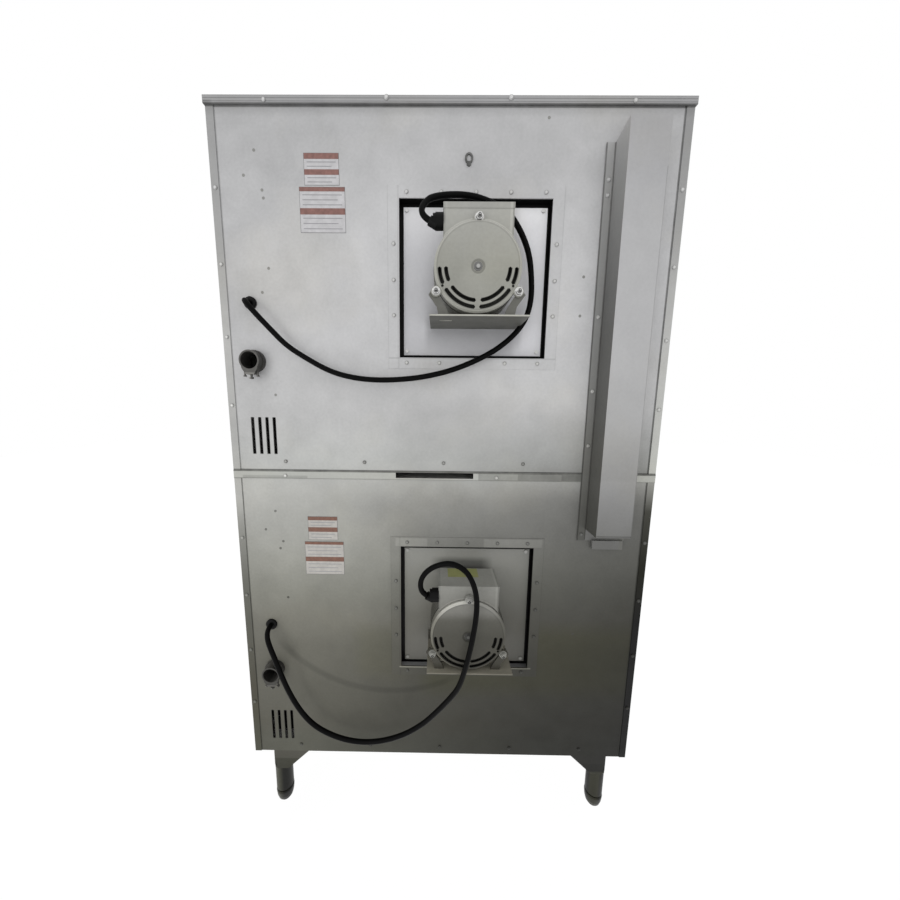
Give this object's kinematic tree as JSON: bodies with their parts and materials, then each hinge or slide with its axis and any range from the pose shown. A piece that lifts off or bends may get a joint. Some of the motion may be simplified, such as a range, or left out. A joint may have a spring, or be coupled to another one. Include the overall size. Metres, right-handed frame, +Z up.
{
  "type": "double deck convection oven",
  "caption": "Stacked convection oven on tall adjustable legs, seen from its motor side: open motor recesses with looped cords, rear flue duct, glazed double doors and knobs in front.",
  "frame": {"origin": "on the floor, at the middle of the oven footprint with handles and motors included, cords left out", "axes": "+Z up; doors and controls face -Y; motors, cords and flue duct face +Y; control side at +X"},
  "size_m": [1.0194, 1.0723, 1.783],
  "materials": {
    "aluminised_steel": "matt, blotchy aluminised sheet",
    "stainless": "brushed",
    "enamel": "porcelain enamel, semi gloss",
    "wool": "mineral wool",
    "motor_grey": "cast and pressed aluminium, dull",
    "bright_steel": "zinc plated",
    "cord_black": "matt black jacket",
    "black_plastic": "moulded black",
    "die_cast": "die cast",
    "glass": "clear tempered",
    "seal_black": "silicone seal",
    "leg_steel": "dull grey paint",
    "rack_wire": "bright plated wire",
    "knob_black": "moulded black",
    "lamp_amber": "clear amber lens",
    "element_dark": "oxidised sheath"
  },
  "bodies": {
    "oven": {"top_cover": "aluminised_steel", "stacking_trim": "aluminised_steel", "side_panels": "aluminised_steel", "upper_back_panel": "aluminised_steel", "lower_back_panel": "aluminised_steel", "deck_inner_sheets": "aluminised_steel", "front_frames": "stainless", "upper_cavity_liner": "enamel", "lower_cavity_liner": "enamel", "insulation_blankets": "wool", "fan_baffles": "enamel", "heating_elements": "element_dark", "rack_guides": "rack_wire", "motor_housings": "motor_grey", "motor_end_covers": "motor_grey", "motor_terminal_boxes": "motor_grey", "motor_mount_brackets": "aluminised_steel", "motor_plates": "aluminised_steel", "motor_recess_frames": "aluminised_steel", "motor_fasteners": "bright_steel", "upper_motor_cord": "cord_black", "lower_motor_cord": "cord_black", "cord_fittings": "black_plastic", "supply_cable_glands": "die_cast", "flue_duct": "aluminised_steel", "hinge_brackets": "stainless", "door_seals": "seal_black", "control_panels": "stainless", "control_components": "black_plastic", "indicator_lamps": "lamp_amber", "leg_brackets": "leg_steel", "casing_screws": "bright_steel"},
    "upper_left_door": {"upper_left_door_shell": "stainless", "upper_left_door_glass": "glass", "upper_left_door_handle": "stainless"},
    "upper_right_door": {"upper_right_door_shell": "stainless", "upper_right_door_glass": "glass", "upper_right_door_handle": "stainless"},
    "upper_thermostat_knob": {"upper_thermostat_knob": "knob_black"},
    "upper_timer_knob": {"upper_timer_knob": "knob_black"},
    "upper_power_rocker": {"upper_power_rocker": "knob_black"},
    "upper_top_rack": {"upper_top_rack": "rack_wire"},
    "upper_bottom_rack": {"upper_bottom_rack": "rack_wire"},
    "upper_blower_wheel": {"upper_blower_wheel": "aluminised_steel"},
    "lower_left_door": {"lower_left_door_shell": "stainless", "lower_left_door_glass": "glass", "lower_left_door_handle": "stainless"},
    "lower_right_door": {"lower_right_door_shell": "stainless", "lower_right_door_glass": "glass", "lower_right_door_handle": "stainless"},
    "lower_thermostat_knob": {"lower_thermostat_knob": "knob_black"},
    "lower_timer_knob": {"lower_timer_knob": "knob_black"},
    "lower_power_rocker": {"lower_power_rocker": "knob_black"},
    "lower_top_rack": {"lower_top_rack": "rack_wire"},
    "lower_bottom_rack": {"lower_bottom_rack": "rack_wire"},
    "lower_blower_wheel": {"lower_blower_wheel": "aluminised_steel"},
    "rear_left_foot": {"rear_left_foot": "leg_steel"},
    "rear_right_foot": {"rear_right_foot": "leg_steel"},
    "front_left_foot": {"front_left_foot": "leg_steel"},
    "front_right_foot": {"front_right_foot": "leg_steel"}
  },
  "joints": [
    {"name": "upper_left_door_hinge", "type": "hinge", "parent": "oven", "child": "upper_left_door", "pos_m": [-0.455, -0.4575, 1.42], "axis": [0, 0, -1], "range_deg": [0, 130]},
    {"name": "upper_right_door_hinge", "type": "hinge", "parent": "oven", "child": "upper_right_door", "pos_m": [0.332, -0.4575, 1.42], "axis": [0, 0, 1], "range_deg": [0, 130]},
    {"name": "upper_thermostat_knob_turn", "type": "hinge", "parent": "oven", "child": "upper_thermostat_knob", "pos_m": [0.43, -0.4535, 1.493], "axis": [0, 1, 0], "range_deg": [0, 270]},
    {"name": "upper_timer_knob_turn", "type": "hinge", "parent": "oven", "child": "upper_timer_knob", "pos_m": [0.43, -0.4535, 1.338], "axis": [0, 1, 0], "range_deg": [0, 300]},
    {"name": "upper_power_rocker_tilt", "type": "hinge", "parent": "oven", "child": "upper_power_rocker", "pos_m": [0.43, -0.4425, 1.633], "axis": [1, 0, 0], "range_deg": [0, 20]},
    {"name": "upper_top_rack_slide", "type": "slide", "parent": "oven", "child": "upper_top_rack", "axis": [0, -1, 0], "range_m": [0, 0.03]},
    {"name": "upper_bottom_rack_slide", "type": "slide", "parent": "oven", "child": "upper_bottom_rack", "axis": [0, -1, 0], "range_m": [0, 0.03]},
    {"name": "upper_blower_spin", "type": "hinge", "parent": "oven", "child": "upper_blower_wheel", "pos_m": [-0.06, 0.2765, 1.42], "axis": [0, 1, 0], "continuous": true},
    {"name": "lower_left_door_hinge", "type": "hinge", "parent": "oven", "child": "lower_left_door", "pos_m": [-0.455, -0.4575, 0.63], "axis": [0, 0, -1], "range_deg": [0, 130]},
    {"name": "lower_right_door_hinge", "type": "hinge", "parent": "oven", "child": "lower_right_door", "pos_m": [0.332, -0.4575, 0.63], "axis": [0, 0, 1], "range_deg": [0, 130]},
    {"name": "lower_thermostat_knob_turn", "type": "hinge", "parent": "oven", "child": "lower_thermostat_knob", "pos_m": [0.43, -0.4535, 0.703], "axis": [0, 1, 0], "range_deg": [0, 270]},
    {"name": "lower_timer_knob_turn", "type": "hinge", "parent": "oven", "child": "lower_timer_knob", "pos_m": [0.43, -0.4535, 0.548], "axis": [0, 1, 0], "range_deg": [0, 300]},
    {"name": "lower_power_rocker_tilt", "type": "hinge", "parent": "oven", "child": "lower_power_rocker", "pos_m": [0.43, -0.4425, 0.843], "axis": [1, 0, 0], "range_deg": [0, 20]},
    {"name": "lower_top_rack_slide", "type": "slide", "parent": "oven", "child": "lower_top_rack", "axis": [0, -1, 0], "range_m": [0, 0.03]},
    {"name": "lower_bottom_rack_slide", "type": "slide", "parent": "oven", "child": "lower_bottom_rack", "axis": [0, -1, 0], "range_m": [0, 0.03]},
    {"name": "lower_blower_spin", "type": "hinge", "parent": "oven", "child": "lower_blower_wheel", "pos_m": [-0.06, 0.2765, 0.63], "axis": [0, 1, 0], "continuous": true},
    {"name": "rear_left_foot_adjust", "type": "slide", "parent": "oven", "child": "rear_left_foot", "axis": [0, 0, -1], "range_m": [0, 0.035]},
    {"name": "rear_right_foot_adjust", "type": "slide", "parent": "oven", "child": "rear_right_foot", "axis": [0, 0, -1], "range_m": [0, 0.035]},
    {"name": "front_left_foot_adjust", "type": "slide", "parent": "oven", "child": "front_left_foot", "axis": [0, 0, -1], "range_m": [0, 0.035]},
    {"name": "front_right_foot_adjust", "type": "slide", "parent": "oven", "child": "front_right_foot", "axis": [0, 0, -1], "range_m": [0, 0.035]}
  ]
}
